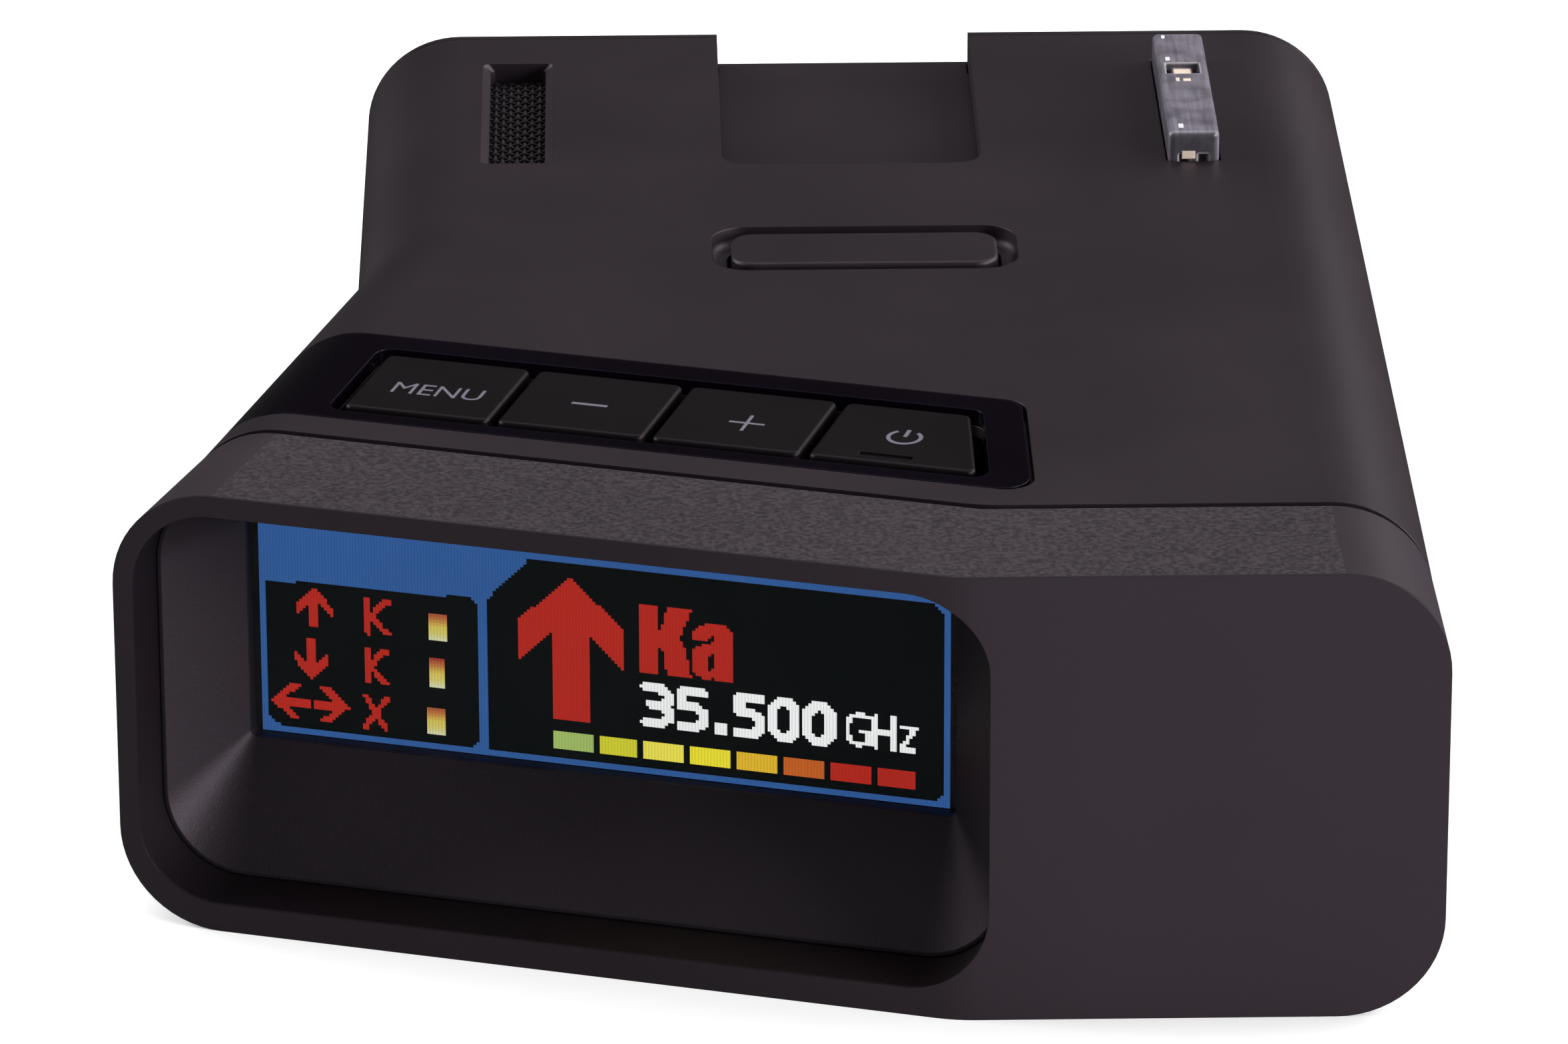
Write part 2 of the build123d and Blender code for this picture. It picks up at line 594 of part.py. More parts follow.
def make_rear_laser_lens():
    """The clear rear-facing laser lens that stands out of the top, with a bar across its top window."""
    left, right = LENS_X - LENS_WIDTH / 2, LENS_X + LENS_WIDTH / 2
    start, end = LENS_DEPTHS[0] + 0.1, LENS_DEPTHS[1] - 0.1
    lens = block((left, right), (start, end), (27.2, LENS_TOP_Z))
    lens = soften(lens.solid(), lens.edges().filter_by(Axis.Z), 0.5)
    lens = soften(lens, lens.faces().sort_by(Axis.Z)[-1].edges(), 0.4)
    lens -= block((left + 0.9, right - 0.9), (start + 3.2, end - 1.2), (27.0, LENS_TOP_Z - 1.1))
    lens -= block((left + 0.6, right - 0.65), (end - 9.2, end - 6.8), (LENS_TOP_Z - 1.2, 40))
    lens += block((left + 1.15, right - 1.2), (end - 8.6, end - 6.7), (LENS_TOP_Z - 1.2, LENS_TOP_Z - 0.5))
    lens -= block((left + 0.8, left + 1.6), (start - 1, start + 0.6), (27.0, 32.1))
    lens -= block((right - 1.6, right - 0.8), (start - 1, start + 0.6), (27.0, 32.1))
    return lens


def make_power_socket():
    """The coaxial power inlet on the right side."""
    solid = block((34.8, 42.8), (POWER_DEPTH - 4.6, POWER_DEPTH + 4.6), (SOCKET_Z - 4.6, SOCKET_Z + 4.6))
    solid += rod_x((42.7, HALF_WIDTH - 0.2), POWER_DEPTH, SOCKET_Z, 3.55)
    return solid - rod_x((36.0, 50), POWER_DEPTH, SOCKET_Z, 2.8)


def make_power_pin():
    """The centre contact of the power inlet."""
    pin = rod_x((36.1, 43.8), POWER_DEPTH, SOCKET_Z, 0.85)
    return pin.solid().fillet(0.4, [pin.edges().sort_by(Axis.X)[-1]])


def make_audio_socket():
    """The 3.5 mm audio jack on the right side."""
    solid = block((32.4, 42.8), (AUDIO_DEPTH - 3.6, AUDIO_DEPTH + 3.6), (SOCKET_Z - 3.6, SOCKET_Z + 3.6))
    solid += rod_x((42.7, HALF_WIDTH - 0.2), AUDIO_DEPTH, SOCKET_Z, 2.95)
    return solid - rod_x((33.6, 50), AUDIO_DEPTH, SOCKET_Z, 1.8)


def make_usb_socket():
    """The small data socket on the right side: a folded shell with a contact tongue."""
    low, high = SOCKET_Z - 2.1, SOCKET_Z + 2.1
    shell_box = block((35.6, HALF_WIDTH - 0.2), (USB_DEPTH - 4.0, USB_DEPTH + 4.0), (low, high))
    shell_box = soften(shell_box.solid(), shell_box.edges().filter_by(Axis.X), 0.5)
    shell_box -= block((36.4, 50), (USB_DEPTH - 3.5, USB_DEPTH + 3.5), (low + 0.5, high - 0.5))
    tongue = block((36.0, 42.6), (USB_DEPTH - 2.4, USB_DEPTH + 2.4), (SOCKET_Z - 0.1, SOCKET_Z + 0.6))
    return shell_box + tongue


def make_front_laser_parts():
    """Window, condenser lens and sensor that look through the end cover."""
    x, z = LASER_X, LASER_Z
    pane_size = (LASER_WINDOW[0] - 0.1, LASER_WINDOW[1] - 0.1)
    pane = rounded_slot_y(x, z, pane_size, (LENGTH - END_WALL, LENGTH - 0.1), 1.15)
    dome = Pos(x, FRONT_Y + 99.0, z) * Sphere(5.6) & rod_y(x, (101.0, 106.0), z, 3.95)
    lens = rod_y(x, (101.0, 103.0), z, 4.0) + dome
    sensor = block((x - 3.2, x + 3.2), (93.0, 96.0), (MAIN_BOARD_Z[1], 17.6)) + rod_y(x, (95.9, 97.4), z, 2.0)
    return {"front_laser_window": pane, "front_laser_lens": lens, "front_laser_sensor": sensor}


def make_rear_laser_parts():
    """The sensor under the rear lens and the small board that carries it."""
    depth = sum(LENS_DEPTHS) / 2
    board = block((LENS_X - 4, LENS_X + 4), (83, 101), (23.8, 24.8))
    sensor = block((LENS_X - 2.2, LENS_X + 2.2), (depth - 3, depth + 3), (24.8, 26.4))
    sensor += post(LENS_X, depth, (26.3, 27.1), 1.2)
    return {"rear_laser_board": board, "rear_laser_sensor": sensor}


def make_board_link():
    """The pin strip that joins the two boards."""
    return block((-20, -10.5), (60, 64), (MAIN_BOARD_Z[1], BOARD_Z[0]))


def make_speaker_lead():
    """The twin lead from the speaker down to the main board, held along its whole run."""
    top = BODY_HEIGHT - WALL - 1.3
    x, start_y = -15.0, FRONT_Y + sum(GRILLE_DEPTHS) / 2
    high, low = top - 4.0, MAIN_BOARD_Z[1] + 1.2
    points = [(x, start_y - reach, z) for reach, z in ((10.2, high), (13.5, high), (13.5, low), (18.0, low))]
    path = FilletPolyline(*points, radius=1.5)
    section = Plane(origin=path @ 0, z_dir=path % 0)
    return sweep(section * Circle(0.6), path=path)


# ------------------------------------------------------------------ assembly
def build_parts():
    """Every sub-part by name."""
    parts = {
        "upper_case": make_upper_case(),
        "lower_case": make_lower_case(),
        "front_bezel": make_front_bezel(),
        "end_cover": make_end_cover(),
        "mount_channel": make_mount_channel(),
        "case_screws": make_case_screws(),
        "main_board_screws": make_board_screws(MAIN_SCREWS, (6.4, 7.4), (2.4, 6.5), 0.8),
        "key_board_screws": make_board_screws(KEY_BOARD_SCREWS, (22.6, 23.6), (23.5, 28.0), 0.7),
        "rating_label": make_rating_label(),
        "display_shroud": make_display_shroud(),
        "display_glass": make_display_glass(),
        "display_panel": make_display_panel(),
        "display_board": make_display_board(),
        "display_bracket": make_display_bracket(),
        "display_ribbon": make_display_ribbon(),
        "key_trim": make_key_trim(),
        "key_board": make_key_board(),
        "main_board": make_main_board(),
        "board_link": make_board_link(),
        "forward_horn": horn(8.0, 84.0, 106.6, (14, 8), (30, 12), 15.8),
        "rear_horn": horn(28.2, 34.8, 4.6, (8, 6), (15, 12), 15.8),
        "receiver_can": make_receiver_can(),
        "processor_can": block((-8, 20), (43, 59), (MAIN_BOARD_Z[1], 9.4)),
        "gps_antenna": block((21, 37), (58, 74), (BOARD_Z[1], BOARD_Z[1] + 4.0)),
        "speaker_grille": make_speaker_grille(),
        "speaker_lead": make_speaker_lead(),
        "rear_laser_lens": make_rear_laser_lens(),
        "power_socket": make_power_socket(),
        "power_pin": make_power_pin(),
        "audio_socket": make_audio_socket(),
        "usb_socket": make_usb_socket(),
        "mute_key": make_mute_key(),
    }
    parts.update(make_speaker_parts())
    parts.update(make_front_laser_parts())
    parts.update(make_rear_laser_parts())

    plans = {name: key_points(span) for name, span in KEY_SPANS.items()}
    plans["power"] = power_points()
    for name, points in plans.items():
        parts[f"{name}_key"] = front_key(points)
    light = led_window_points(plans["power"])
    parts["power_key"] -= panel_block(*light, (BODY_HEIGHT - 1.0, 40))
    parts["power_led_window"] = panel_block(*light, (BODY_HEIGHT - 1.0, BODY_HEIGHT - 0.15))

    places = {name: key_middle(points) for name, points in plans.items()}
    places["mute"] = (CENTRE_X, MUTE_DEPTH)
    for name, place in places.items():
        parts[f"{name}_plunger"] = plunger(place)
        parts[f"{name}_switch"] = tact_switch(place)
    return parts


def main():
    os.makedirs("parts", exist_ok=True)
    for name, shape in build_parts().items():
        export_step(shape, f"parts/{name}.step")


main()
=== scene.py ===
"""Looks for the radar detector: materials, readout, key legends, woven grille, light and camera."""
import json
import math

import bmesh
import bpy
import numpy as np
from mathutils import Matrix, Vector


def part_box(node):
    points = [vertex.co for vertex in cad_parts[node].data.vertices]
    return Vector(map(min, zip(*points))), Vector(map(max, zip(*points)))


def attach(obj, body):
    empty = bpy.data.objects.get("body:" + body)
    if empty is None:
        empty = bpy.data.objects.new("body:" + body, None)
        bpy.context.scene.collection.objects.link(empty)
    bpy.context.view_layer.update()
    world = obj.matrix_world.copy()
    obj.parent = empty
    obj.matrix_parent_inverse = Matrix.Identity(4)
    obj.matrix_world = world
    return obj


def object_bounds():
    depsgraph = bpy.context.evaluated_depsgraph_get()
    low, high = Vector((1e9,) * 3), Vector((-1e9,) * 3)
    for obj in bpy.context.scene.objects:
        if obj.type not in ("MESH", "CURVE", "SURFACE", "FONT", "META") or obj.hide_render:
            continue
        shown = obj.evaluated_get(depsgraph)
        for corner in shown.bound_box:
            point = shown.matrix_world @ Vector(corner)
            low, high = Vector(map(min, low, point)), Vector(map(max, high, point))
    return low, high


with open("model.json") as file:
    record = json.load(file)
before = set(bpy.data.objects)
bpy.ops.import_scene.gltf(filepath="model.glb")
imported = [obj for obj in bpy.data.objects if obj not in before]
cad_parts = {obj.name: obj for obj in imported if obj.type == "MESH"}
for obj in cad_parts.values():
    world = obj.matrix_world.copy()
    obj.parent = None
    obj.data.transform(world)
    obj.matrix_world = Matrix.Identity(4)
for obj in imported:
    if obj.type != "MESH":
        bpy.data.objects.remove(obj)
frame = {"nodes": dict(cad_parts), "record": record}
cad_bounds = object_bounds()

# ------------------------------------------------------------------ sizes (metres unless said)
MM = 0.001
PANEL_ANGLE = math.radians(17.2)      # the display face is turned this far from the X axis
ACROSS = Vector((math.cos(PANEL_ANGLE), -math.sin(PANEL_ANGLE), 0))   # rightwards on the display face
INWARD = Vector((math.sin(PANEL_ANGLE), math.cos(PANEL_ANGLE), 0))    # into the case
UP = Vector((0, 0, 1))

CAMERA_PLACE = (-0.01032, -0.63543, 0.27677)
CAMERA_HEADING = math.radians(1.066)  # to the right of +Y
CAMERA_DOWN = math.radians(22.483)
CAMERA_ROLL = math.radians(-0.14)
CAMERA_LENS = 218.2                   # millimetres on a 36 mm sensor

READOUT_MARGIN = (2.0, 2.35, 2.55, 2.25)    # mm from the module's left, right, lower and upper edges
READOUT_PITCH = 0.2237                # mm from one display cell to the next

ROOM_LIGHT = 0.55                     # how bright the room is to matt surfaces, and to glossy ones
ROOM_GLOSS = 0.03
FLOOR_GLOW = 0.25

# ------------------------------------------------------------------ small helpers
def link(obj):
    bpy.context.scene.collection.objects.link(obj)
    return obj


def mesh_object(name, verts, faces, smooth=False):
    """A new mesh object from vertices and faces."""
    mesh = bpy.data.meshes.new(name)
    mesh.from_pydata([tuple(v) for v in verts], [], faces)
    mesh.polygons.foreach_set("use_smooth", [smooth] * len(mesh.polygons))
    mesh.update()
    return link(bpy.data.objects.new(name, mesh))


def node_span(name, lid=False):
    """A node's extent along ACROSS, INWARD and UP, as three (low, high) pairs.

    With lid, only the extent of its top face.
    """
    points = [v.co for v in frame["nodes"][name].data.vertices]
    if lid:
        top = max(p.z for p in points)
        points = [p for p in points if p.z > top - 0.02 * MM]
    spans = []
    for axis in (ACROSS, INWARD, UP):
        along = [p.dot(axis) for p in points]
        spans.append((min(along), max(along)))
    return spans


def at(across, inward, up):
    """The point at these distances along ACROSS, INWARD and UP."""
    return ACROSS * across + INWARD * inward + UP * up


def bevelled_box(low, high, bevel):
    """The vertices and faces of a box whose edges are cut off by bevel."""
    mesh = bmesh.new()
    bmesh.ops.create_cube(mesh, size=1.0)
    for v in mesh.verts:
        v.co = [low[i] + (v.co[i] + 0.5) * (high[i] - low[i]) for i in range(3)]
    bmesh.ops.bevel(mesh, geom=mesh.edges[:], offset=bevel, segments=2, affect="EDGES")
    mesh.verts.index_update()
    verts = [v.co.copy() for v in mesh.verts]
    faces = [[v.index for v in f.verts] for f in mesh.faces]
    mesh.free()
    return verts, faces


# ------------------------------------------------------------------ materials
class Shader:
    """A node tree under construction: a Principled surface and helpers that add and link nodes."""

    def __init__(self, name):
        self.material = bpy.data.materials.new(name)
        self.material.use_nodes = True
        self.tree = self.material.node_tree
        self.tree.nodes.clear()
        self.surface = self.add("ShaderNodeBsdfPrincipled")
        self.output = self.add("ShaderNodeOutputMaterial")
        self.wire(self.surface.outputs[0], self.output.inputs["Surface"])
        self.place = self.add("ShaderNodeTexCoord").outputs["Object"]

    def add(self, kind, settings=None, **inputs):
        node = self.tree.nodes.new(kind)
        for key, value in (settings or {}).items():
            setattr(node, key, value)
        for key, value in inputs.items():
            self.put(node.inputs[key.replace("_", " ")], value)
        return node

    def wire(self, start, end):
        self.tree.links.new(start, end)

    def put(self, socket, value):
        if isinstance(value, bpy.types.NodeSocket):
            self.wire(value, socket)
        else:
            socket.default_value = value

    def set(self, **inputs):
        for key, value in inputs.items():
            self.put(self.surface.inputs[key.replace("_", " ")], value)
        return self

    def noise(self, scale, detail=2.0, roughness=0.5, vector=None):
        node = self.add("ShaderNodeTexNoise", Vector=vector or self.place, Scale=scale, Detail=detail,
                        Roughness=roughness)
        return node.outputs["Fac"]

    def ramp(self, value, low, high, out_low=0.0, out_high=1.0):
        node = self.add("ShaderNodeMapRange", Value=value, From_Min=low, From_Max=high, To_Min=out_low,
                        To_Max=out_high)
        return node.outputs[0]

    def maths(self, operation, first, second=0.0):
        node = self.add("ShaderNodeMath", {"operation": operation})
        self.put(node.inputs[0], first)
        self.put(node.inputs[1], second)
        return node.outputs[0]

    def mix(self, factor, first, second):
        node = self.add("ShaderNodeMix", {"data_type": "RGBA"})
        self.put(node.inputs["Factor"], factor)
        self.put(node.inputs[6], first if not isinstance(first, tuple) else (*first, 1.0))
        self.put(node.inputs[7], second if not isinstance(second, tuple) else (*second, 1.0))
        return node.outputs[2]

    def bump(self, height, distance, strength=1.0, below=None):
        node = self.add("ShaderNodeBump", Height=height, Distance=distance, Strength=strength)
        if below:
            self.wire(below, node.inputs["Normal"])
        return node.outputs["Normal"]

    def edges(self, radius):
        """A normal that rounds the edges, and a mask that is 1 on them."""
        rounded = self.add("ShaderNodeBevel", {"samples": 6}, Radius=radius).outputs[0]
        true = self.add("ShaderNodeNewGeometry").outputs["Normal"]
        return rounded, self.ramp(self.dot(rounded, true), 0.995, 0.85)

    def vector_maths(self, operation, first, second):
        node = self.add("ShaderNodeVectorMath", {"operation": operation})
        self.put(node.inputs[0], first)
        self.put(node.inputs[1], second)
        return node.outputs[0]

    def dot(self, first, second):
        node = self.add("ShaderNodeVectorMath", {"operation": "DOT_PRODUCT"})
        self.put(node.inputs[0], first)
        self.put(node.inputs[1], second)
        return node.outputs["Value"]

    def normal(self):
        return self.add("ShaderNodeTexCoord").outputs["Normal"]

    def normal_part(self, axis):
        return self.add("ShaderNodeSeparateXYZ", Vector=self.normal()).outputs[axis]

    def link_to(self, name):
        """What feeds one of the surface's inputs at present."""
        return self.surface.inputs[name].links[0].from_socket


def shade(colour, factor):
    return tuple(min(1.0, c * factor) for c in colour)


GLOSS_TINT = (1.0, 0.82, 0.97, 1.0)   # the black plastics shine faintly plum


def moulded(name, colour, rough=0.45, grain=0.16, depth=0.006, drift=0.12, painted_edge_tone=1.5,
            edge_radius=0.12):
    """Moulded plastic: a fine grain, slow drifts of tone and gloss, and edges polished by handling to a
    lower roughness, with a painted highlight in their colour.

    The grain, its depth and the edges' radius are in millimetres. The edges' colour is the edge tone
    argument times as bright: a painted highlight above 1, painted shade below 1.
    """
    s = Shader(name)
    slow = s.noise(55.0, 3.0)
    fine = s.noise(1.0 / (grain * MM), 2.0, 0.6)
    rounded, edge = s.edges(edge_radius * MM)
    tone = s.ramp(slow, 0.3, 0.7)
    speck = s.ramp(fine, 0.35, 0.65)
    base = s.mix(tone, shade(colour, 1 - drift), shade(colour, 1 + drift))
    base = s.mix(s.maths("MULTIPLY", speck, 0.25), base, shade(colour, 1.3))
    # Painted highlight on the edges: their colour is scaled by the edge tone (below 1 it is painted
    # shade).
    base = s.mix(s.maths("MULTIPLY", edge, 0.7), base, shade(colour, painted_edge_tone))
    gloss = s.maths("ADD", s.ramp(slow, 0.3, 0.7, rough - 0.03, rough + 0.03),
                    s.ramp(fine, 0.3, 0.7, -0.02, 0.02))
    gloss = s.maths("SUBTRACT", gloss, s.maths("MULTIPLY", edge, 0.12))
    s.set(Base_Color=base, Roughness=gloss, Normal=s.bump(fine, depth * MM, 1.0, rounded), IOR=1.46)
    return s.set(Specular_Tint=GLOSS_TINT)


def case_plastic():
    return moulded("case_plastic", (0.0080, 0.0050, 0.0072), rough=0.5, grain=0.11, depth=0.004).material


def bezel_plastic():
    """The bezel: coarse grain on its flat top, a dark front edge, a dark wall inside its opening, and
    painted shade to painted light from left to right across its front faces.
    """
    colour = (0.0175, 0.0128, 0.0168)
    s = moulded("bezel_plastic", colour, rough=0.5, grain=0.12, depth=0.004, painted_edge_tone=1.0,
                edge_radius=0.06)
    flat = s.ramp(s.normal_part("Z"), 0.9970, 0.9982)
    coarse = s.noise(1.0 / (0.40 * MM), 3.0, 0.65)
    light = s.mix(s.ramp(coarse, 0.38, 0.62), (0.0130, 0.0098, 0.0122), (0.0380, 0.0310, 0.0360))
    base = s.mix(flat, s.link_to("Base Color"), light)
    normal = s.normal()
    # Painted light on the front faces: painted shade towards the left, lighter towards the right.
    along_x = s.dot(s.place, Vector((1, 0, 0)))
    face = s.mix(s.ramp(along_x, -10 * MM, 22 * MM), shade(colour, 0.76), shade(colour, 1.18))
    base = s.mix(s.ramp(s.dot(normal, -INWARD), 0.80, 0.95), base, face)
    across, inward, up = node_span("display_panel")
    middle = at(sum(across) / 2, inward[0] - 6.0 * MM, sum(up) / 2)
    inside = s.ramp(s.dot(s.vector_maths("SUBTRACT", middle, s.place), normal), 0.0, 1.0 * MM)
    base = s.mix(inside, base, (0.0030, 0.0022, 0.0028))
    behind_display = s.maths("SUBTRACT", s.dot(s.place, INWARD), node_span("front_bezel")[1][0])
    behind_box = s.maths("SUBTRACT", s.dot(s.place, Vector((0, 1, 0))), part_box("front_bezel")[0].y)
    near_edge = s.ramp(s.maths("MINIMUM", behind_display, behind_box), 0.34 * MM, 0.26 * MM)
    sideways = s.ramp(s.dot(normal, -INWARD), 0.7, 0.5)
    line = s.maths("MULTIPLY", near_edge, sideways)
    base = s.mix(line, base, (0.0006, 0.0004, 0.0004))
    rough = s.maths("MAXIMUM", s.link_to("Roughness"), s.maths("MULTIPLY", line, 0.95))
    height = s.maths("MULTIPLY", coarse, flat)
    s.set(Base_Color=base, Roughness=rough, Normal=s.bump(height, 0.016 * MM, 1.0, s.link_to("Normal")))
    return s.material


def shroud_plastic():
    """The funnel round the display: black with a fine sparkling grain."""
    s = moulded("shroud_plastic", (0.0108, 0.0088, 0.0112), rough=0.57, grain=0.20, depth=0.020,
                drift=0.08)
    spark = s.add("ShaderNodeTexVoronoi", Vector=s.place, Scale=1.0 / (0.26 * MM)).outputs["Distance"]
    spark = s.ramp(spark, 0.16, 0.05)
    base = s.mix(s.maths("MULTIPLY", spark, 0.5), s.link_to("Base Color"), (0.06, 0.055, 0.06))
    s.set(Base_Color=base)
    return s.material


def gloss_trim():
    """High gloss black with a violet tint, polished flat with a faint orange-peel."""
    s = Shader("gloss_trim")
    slow = s.noise(90.0, 2.0)
    fine = s.noise(1400.0, 2.0)
    rounded, edge = s.edges(0.12 * MM)
    base = s.mix(s.ramp(slow, 0.3, 0.7), (0.0016, 0.0008, 0.0020), (0.0026, 0.0014, 0.0034))
    # Painted highlight: the edges are painted a lighter violet.
    base = s.mix(edge, base, (0.010, 0.007, 0.018))
    rough = s.ramp(fine, 0.3, 0.7, 0.06, 0.11)
    s.set(Base_Color=base, Roughness=rough, Normal=s.bump(slow, 0.010 * MM, 1.0, rounded), IOR=1.21)
    return s.material


def key_plastic():
    # Its edges are painted 0.8 times as bright: painted shade.
    s = moulded("key_plastic", (0.0038, 0.0027, 0.0034), rough=0.42, grain=0.09, depth=0.003, drift=0.08,
                painted_edge_tone=0.8)
    return s.set(IOR=1.25).material


def legend_ink():
    s = moulded("legend_ink", (0.105, 0.100, 0.128), rough=0.5, grain=0.06, depth=0.002, drift=0.06)
    return s.material


def clear_plastic(name="clear_plastic", tint=(0.93, 0.93, 0.95), rough=0.05):
    s = Shader(name)
    slow = s.noise(300.0, 2.0)
    gloss = s.ramp(s.noise(2500.0, 2.0), 0.3, 0.7, rough, rough + 0.05)
    base = s.mix(s.ramp(slow, 0.3, 0.7), shade(tint, 0.96), tint)
    s.set(Base_Color=base, Roughness=gloss, Transmission_Weight=1.0, IOR=1.585,
          Normal=s.bump(slow, 0.02 * MM, 0.4))
    return s.material


def lens_plastic():
    """The laser lens: clear plastic that reads as smoky lilac, with faint flow lines, a painted highlight
    on its edges and painted shade on its front face.
    """
    s = Shader("lens_plastic")
    rounded, edge = s.edges(0.30 * MM)
    stretch = s.add("ShaderNodeMapping", Vector=s.place, Scale=(3200.0, 130.0, 900.0)).outputs[0]
    lines = s.noise(1.0, 3.0, 0.6, stretch)
    patches = s.noise(520.0, 2.0)
    base = s.mix(s.ramp(lines, 0.3, 0.7), (0.150, 0.135, 0.165), (0.260, 0.240, 0.290))
    base = s.mix(s.ramp(patches, 0.45, 0.72, 0.0, 0.55), base, (0.050, 0.045, 0.056))
    # Painted shade: faces turned towards -Y, the front, are darkened.
    base = s.mix(s.ramp(s.normal_part("Y"), -0.5, -0.9, 0.0, 0.75), base, (0.030, 0.027, 0.034))
    # Painted highlight: the edges are painted near white.
    base = s.mix(edge, base, (0.70, 0.66, 0.70))
    gloss = s.ramp(patches, 0.3, 0.7, 0.10, 0.24)
    s.set(Base_Color=base, Roughness=gloss, Normal=s.bump(lines, 0.01 * MM, 1.0, rounded), IOR=1.5,
          Transmission_Weight=0.35)
    return s.material


def bone_plastic():
    # Its edges are painted 1.2 times as bright: a painted highlight.
    s = moulded("bone_plastic", (0.62, 0.50, 0.42), rough=0.35, grain=0.12, depth=0.003, painted_edge_tone=1.2)
    return s.material


# A bright stand-in for glints: the material of the painted highlights in the lens.
def glint_material():
    return moulded("glint", (0.60, 0.60, 0.70), rough=0.3, grain=0.1, depth=0.001).material


def cover_glass():
    """The thin cover over the display: nearly all transparent, with a smoky tint and a faint smear."""
    s = Shader("cover_glass")
    smear = s.ramp(s.noise(220.0, 4.0, 0.6), 0.35, 0.7)
    tint = s.mix(smear, (0.003, 0.003, 0.004), (0.010, 0.009, 0.011))
    s.set(Base_Color=tint, Roughness=s.ramp(smear, 0.0, 1.0, 0.03, 0.10), Alpha=0.10, IOR=1.45)
    return s.material


def readout_material():
    """The lit display: each cell's own colour, broken into fine columns of pixels."""
    s = Shader("readout")
    colour = s.add("ShaderNodeVertexColor", {"layer_name": "cell"}).outputs["Color"]
    columns = s.add("ShaderNodeAttribute", {"attribute_name": "column"}).outputs["Fac"]
    wave = s.maths("SINE", s.maths("MULTIPLY", columns, 2 * math.pi))
    grid = s.ramp(wave, -1.0, 0.2, 0.80, 1.0)
    drift = s.ramp(s.noise(160.0, 2.0), 0.3, 0.7, 0.96, 1.04)
    level = s.maths("MULTIPLY", grid, drift)
    lit = s.add("ShaderNodeVectorMath", {"operation": "SCALE"})
    s.wire(colour, lit.inputs[0])
    s.wire(level, lit.inputs["Scale"])
    s.set(Base_Color=(0.004, 0.005, 0.005, 1), Roughness=0.35, Emission_Color=lit.outputs[0],
          Emission_Strength=1.2)
    return s.material


def board_material():
    """Green solder mask over copper traces."""
    s = Shader("circuit_board")
    weave = s.add("ShaderNodeTexBrick", {"offset": 0.5}, Vector=s.place, Scale=260.0)
    weave.inputs["Color1"].default_value = (0.010, 0.075, 0.032, 1)
    weave.inputs["Color2"].default_value = (0.014, 0.100, 0.045, 1)
    weave.inputs["Mortar"].default_value = (0.045, 0.160, 0.070, 1)
    s.set(Base_Color=weave.outputs["Color"], Roughness=s.ramp(s.noise(700.0), 0.3, 0.7, 0.28, 0.4),
          Normal=s.bump(weave.outputs["Fac"], 0.03 * MM))
    return s.material


def brushed(name, colour, rough=0.35, metal=1.0):
    """Bright metal with fine drawn lines along X."""
    s = Shader(name)
    stretch = s.add("ShaderNodeMapping", Vector=s.place, Scale=(40.0, 2200.0, 2200.0)).outputs[0]
    lines = s.noise(1.0, 3.0, 0.6, stretch)
    tone = s.mix(s.ramp(lines, 0.3, 0.7), shade(colour, 0.8), shade(colour, 1.1))
    gloss = s.ramp(lines, 0.3, 0.7, rough - 0.08, rough + 0.08)
    s.set(Base_Color=tone, Metallic=metal, Roughness=gloss, Normal=s.bump(lines, 0.004 * MM))
    return s.material


def grille_thread():
    thread = moulded("grille_thread", (0.0085, 0.0080, 0.0085), rough=0.44, grain=0.07, depth=0.003)
    return thread.set(IOR=1.36).material


def make_materials():
    """One material for each of the record's slots."""
    materials = {
        "case_plastic": case_plastic(),
        "bezel_plastic": bezel_plastic(),
        "shroud_plastic": shroud_plastic(),
        "gloss_trim": gloss_trim(),
        "key_plastic": key_plastic(),
        "clear_plastic": clear_plastic(),
        "ir_window": clear_plastic("ir_window", (0.10, 0.02, 0.03), 0.08),
        "circuit_board": board_material(),
        "shield_steel": brushed("shield_steel", (0.55, 0.55, 0.54)),
        "horn_alloy": brushed("horn_alloy", (0.60, 0.60, 0.61), 0.42),
        "screw_steel": brushed("screw_steel", (0.14, 0.14, 0.15), 0.3),
    }
    plastics = {
        "end_plastic": ((0.010, 0.008, 0.010), dict(rough=0.42, grain=0.12)),
        "led_window": ((0.006, 0.006, 0.007), dict(rough=0.2, grain=0.08, depth=0.001)),
        "display_module": ((0.012, 0.012, 0.013), dict(rough=0.25, grain=0.1, depth=0.001)),
        "antenna_ceramic": ((0.55, 0.47, 0.36), dict(rough=0.5, grain=0.3)),
        "socket_plastic": ((0.010, 0.010, 0.011), dict(rough=0.38, grain=0.12)),
        "grille_mesh": ((0.004, 0.004, 0.004), dict(rough=0.6, grain=0.12)),
        "speaker_paper": ((0.03, 0.03, 0.032), dict(rough=0.6, grain=0.2, depth=0.02)),
        "gasket_rubber": ((0.012, 0.012, 0.012), dict(rough=0.75, grain=0.2, depth=0.02)),
        "flex_cable": ((0.30, 0.14, 0.035), dict(rough=0.35, grain=0.2)),
        "label_film": ((0.018, 0.018, 0.019), dict(rough=0.55, grain=0.08, depth=0.002)),
    }
    for name, (colour, finish) in plastics.items():
        materials[name] = moulded(name, colour, **finish).material
    return materials


def dress_nodes(materials):
    """Gives every CAD node the material of its slot, or one of its own."""
    slots = {entry["node"]: entry["material_slot"] for entry in frame["record"]["subparts"]}
    special = {"display_glass": cover_glass(), "rear_laser_lens": lens_plastic(),
               "mute_key": materials["case_plastic"]}
    for name, obj in frame["nodes"].items():
        obj.data.materials.clear()
        obj.data.materials.append(special.get(name, materials[slots[name]]))


